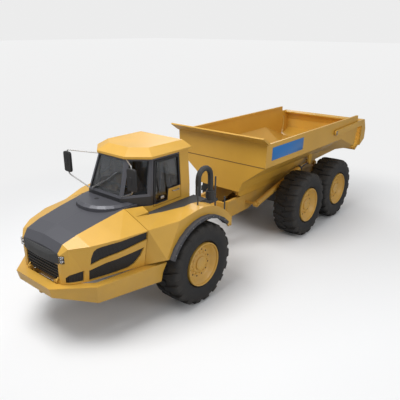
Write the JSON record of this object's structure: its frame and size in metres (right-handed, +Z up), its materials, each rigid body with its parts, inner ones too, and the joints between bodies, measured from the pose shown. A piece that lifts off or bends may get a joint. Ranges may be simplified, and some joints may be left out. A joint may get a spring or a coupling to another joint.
{
  "type": "articulated dump truck",
  "caption": "Six-wheel articulated dump truck with hollow cab, hinged hood, steering hitch, tipping bed, tailgate, hoist rams and lugged tyres.",
  "frame": {"origin": "on the ground under the middle of the overall length and width", "axes": "+X forward, +Y to the left of the driver, +Z up"},
  "size_m": [11.23, 3.2, 3.255],
  "materials": {
    "black_plastic": "matte",
    "black_steel": "satin",
    "body_yellow": "semi-gloss",
    "charcoal_paint": "satin",
    "chassis_grey": "satin",
    "chassis_yellow": "satin, worn",
    "cylinder_yellow": "satin",
    "engine_iron": "cast",
    "rim_yellow": "satin, dusty",
    "rod_chrome": "polished",
    "seat_fabric": "woven",
    "tinted_glass": "clear, tinted",
    "tyre_rubber": "matte, dusty"
  },
  "bodies": {
    "front_unit": {"bumper": "body_yellow", "cab_frame": "charcoal_paint", "cab_glass": "tinted_glass", "cab_roof": "body_yellow", "cab_tub": "body_yellow", "cowl": "charcoal_paint", "dashboard": "black_plastic", "engine_block": "engine_iron", "fenders": "body_yellow", "flares": "black_plastic", "front_axle": "chassis_grey", "front_frame": "chassis_yellow", "front_suspension": "chassis_grey", "handrails": "black_steel", "intake_pipe": "black_steel", "mirrors": "black_plastic", "seat": "seat_fabric", "steer_brackets": "chassis_yellow", "steering_wheel": "black_plastic", "walkways": "charcoal_paint"},
    "hood": {"hood_panel": "charcoal_paint", "hood_shell": "body_yellow", "hood_grilles": "black_plastic", "headlamps": "tinted_glass", "hood_nose": "charcoal_paint"},
    "door": {"cab_door": "charcoal_paint", "door_glass": "tinted_glass"},
    "yoke": {"hitch_yoke": "chassis_yellow"},
    "rear_unit": {"rear_frame": "chassis_yellow", "bogie_beams": "chassis_grey", "mid_axle": "chassis_grey", "rear_axle": "chassis_grey", "propshafts": "chassis_grey"},
    "bed": {"bed": "body_yellow"},
    "tailgate": {"tailgate": "body_yellow"},
    "wheel_front_left": {"tyre_front_left": "tyre_rubber", "rim_front_left": "rim_yellow"},
    "wheel_front_right": {"tyre_front_right": "tyre_rubber", "rim_front_right": "rim_yellow"},
    "wheel_mid_left": {"tyre_mid_left": "tyre_rubber", "rim_mid_left": "rim_yellow"},
    "wheel_mid_right": {"tyre_mid_right": "tyre_rubber", "rim_mid_right": "rim_yellow"},
    "wheel_rear_left": {"tyre_rear_left": "tyre_rubber", "rim_rear_left": "rim_yellow"},
    "wheel_rear_right": {"tyre_rear_right": "tyre_rubber", "rim_rear_right": "rim_yellow"},
    "steer_barrel_left": {"steer_barrel_left": "cylinder_yellow"},
    "steer_barrel_right": {"steer_barrel_right": "cylinder_yellow"},
    "steer_rod_left": {"steer_rod_left": "rod_chrome"},
    "steer_rod_right": {"steer_rod_right": "rod_chrome"},
    "hoist_barrel_left": {"hoist_barrel_left": "cylinder_yellow"},
    "hoist_barrel_right": {"hoist_barrel_right": "cylinder_yellow"},
    "hoist_rod_left": {"hoist_rod_left": "rod_chrome"},
    "hoist_rod_right": {"hoist_rod_right": "rod_chrome"}
  },
  "joints": [
    {"name": "steer", "type": "hinge", "parent": "front_unit", "child": "yoke", "pos_m": [1.448, 0, 0.975], "axis": [0, 0, 1], "range_deg": [-45, 45]},
    {"name": "hitch_roll", "type": "hinge", "parent": "yoke", "child": "rear_unit", "pos_m": [0.925, 0, 0.995], "axis": [1, 0, 0], "range_deg": [-15, 15]},
    {"name": "bed_tip", "type": "hinge", "parent": "rear_unit", "child": "bed", "pos_m": [-4.125, 0, 1.38], "axis": [0, -1, 0], "range_deg": [0, 70]},
    {"name": "gate_open", "type": "hinge", "parent": "bed", "child": "tailgate", "pos_m": [-3.445, 0, 2.575], "axis": [0, 1, 0], "range_deg": [0, 57]},
    {"name": "hood_open", "type": "hinge", "parent": "front_unit", "child": "hood", "pos_m": [5.4, 0, 1.24], "axis": [0, 1, 0], "range_deg": [0, 60]},
    {"name": "door_open", "type": "hinge", "parent": "front_unit", "child": "door", "pos_m": [3.337, 0.78, 2.12], "axis": [0, 0, -1], "range_deg": [0, 75]},
    {"name": "front_left_roll", "type": "hinge", "parent": "front_unit", "child": "wheel_front_left", "pos_m": [2.725, 1.2575, 0.875], "axis": [0, 1, 0], "continuous": true},
    {"name": "front_right_roll", "type": "hinge", "parent": "front_unit", "child": "wheel_front_right", "pos_m": [2.725, -1.2575, 0.875], "axis": [0, 1, 0], "continuous": true},
    {"name": "mid_left_roll", "type": "hinge", "parent": "rear_unit", "child": "wheel_mid_left", "pos_m": [-1.776, 1.2575, 0.875], "axis": [0, 1, 0], "continuous": true},
    {"name": "mid_right_roll", "type": "hinge", "parent": "rear_unit", "child": "wheel_mid_right", "pos_m": [-1.776, -1.2575, 0.875], "axis": [0, 1, 0], "continuous": true},
    {"name": "rear_left_roll", "type": "hinge", "parent": "rear_unit", "child": "wheel_rear_left", "pos_m": [-3.596, 1.2575, 0.875], "axis": [0, 1, 0], "continuous": true},
    {"name": "rear_right_roll", "type": "hinge", "parent": "rear_unit", "child": "wheel_rear_right", "pos_m": [-3.596, -1.2575, 0.875], "axis": [0, 1, 0], "continuous": true},
    {"name": "steer_left_swing", "type": "hinge", "parent": "front_unit", "child": "steer_barrel_left", "pos_m": [2.495, 0.56, 0.975], "axis": [0, 0, 1], "range_deg": [-2, 2]},
    {"name": "steer_left_stroke", "type": "slide", "parent": "steer_barrel_left", "child": "steer_rod_left", "axis": [-0.9888, -0.1496, 0], "range_m": [-0.299, 0.299]},
    {"name": "hoist_left_swing", "type": "hinge", "parent": "rear_unit", "child": "hoist_barrel_left", "pos_m": [-0.325, 0.785, 1.12], "axis": [0, 1, 0], "range_deg": [-1, 13.5]},
    {"name": "hoist_left_stroke", "type": "slide", "parent": "hoist_barrel_left", "child": "hoist_rod_left", "axis": [-0.9777, 0, 0.21], "range_m": [-0.005, 1.159]},
    {"name": "steer_right_swing", "type": "hinge", "parent": "front_unit", "child": "steer_barrel_right", "pos_m": [2.495, -0.56, 0.975], "axis": [0, 0, 1], "range_deg": [-2, 2]},
    {"name": "steer_right_stroke", "type": "slide", "parent": "steer_barrel_right", "child": "steer_rod_right", "axis": [-0.9888, 0.1496, 0], "range_m": [-0.299, 0.299]},
    {"name": "hoist_right_swing", "type": "hinge", "parent": "rear_unit", "child": "hoist_barrel_right", "pos_m": [-0.325, -0.785, 1.12], "axis": [0, 1, 0], "range_deg": [-1, 13.5]},
    {"name": "hoist_right_stroke", "type": "slide", "parent": "hoist_barrel_right", "child": "hoist_rod_right", "axis": [-0.9777, 0, 0.21], "range_m": [-0.005, 1.159]}
  ],
  "couplings": [
    {"joint": "steer_left_swing", "follows": "steer", "ratio": 0.0224},
    {"joint": "steer_left_stroke", "follows": "steer", "m_per_rad": 0.3749},
    {"joint": "hoist_left_swing", "follows": "bed_tip", "ratio": 0.1784},
    {"joint": "hoist_left_stroke", "follows": "bed_tip", "m_per_rad": 0.9408},
    {"joint": "steer_right_swing", "follows": "steer", "ratio": 0.0224},
    {"joint": "steer_right_stroke", "follows": "steer", "m_per_rad": -0.3749},
    {"joint": "hoist_right_swing", "follows": "bed_tip", "ratio": 0.1784},
    {"joint": "hoist_right_stroke", "follows": "bed_tip", "m_per_rad": 0.9408},
    {"joint": "gate_open", "follows": "bed_tip", "ratio": 0.8}
  ]
}
